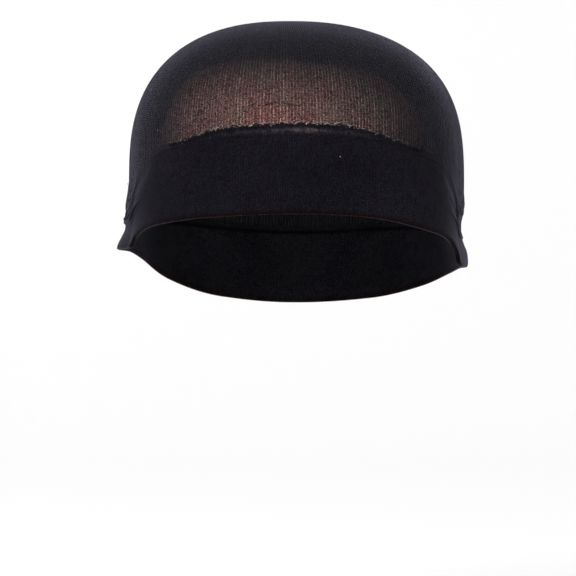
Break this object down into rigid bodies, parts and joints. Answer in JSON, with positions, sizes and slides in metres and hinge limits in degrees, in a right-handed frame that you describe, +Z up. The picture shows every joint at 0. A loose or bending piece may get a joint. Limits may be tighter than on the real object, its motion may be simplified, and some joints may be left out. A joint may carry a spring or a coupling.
{
  "type": "wig cap",
  "caption": "Stretch knitted wig cap: a sheer domed crown, a turned seam and a doubled band with a folded lower edge, open below.",
  "frame": {"origin": "top of the hollow, where the cap sits on what wears it", "axes": "the front faces -Y, +Z is up, and +X is to the right seen from the front"},
  "size_m": [0.1614, 0.1853, 0.1294],
  "materials": {
    "sheer_knit": "single layer of fine black stocking knit, see-through where it is stretched, soft matt sheen",
    "seam_knit": "turned knitted edge with a narrow stretched strip below it, matt",
    "band_knit": "two layers of dense black stretch knit, opaque, matt"
  },
  "bodies": {
    "root": {"crown": "sheer_knit", "seam": "seam_knit", "band": "band_knit"}
  },
  "joints": []
}
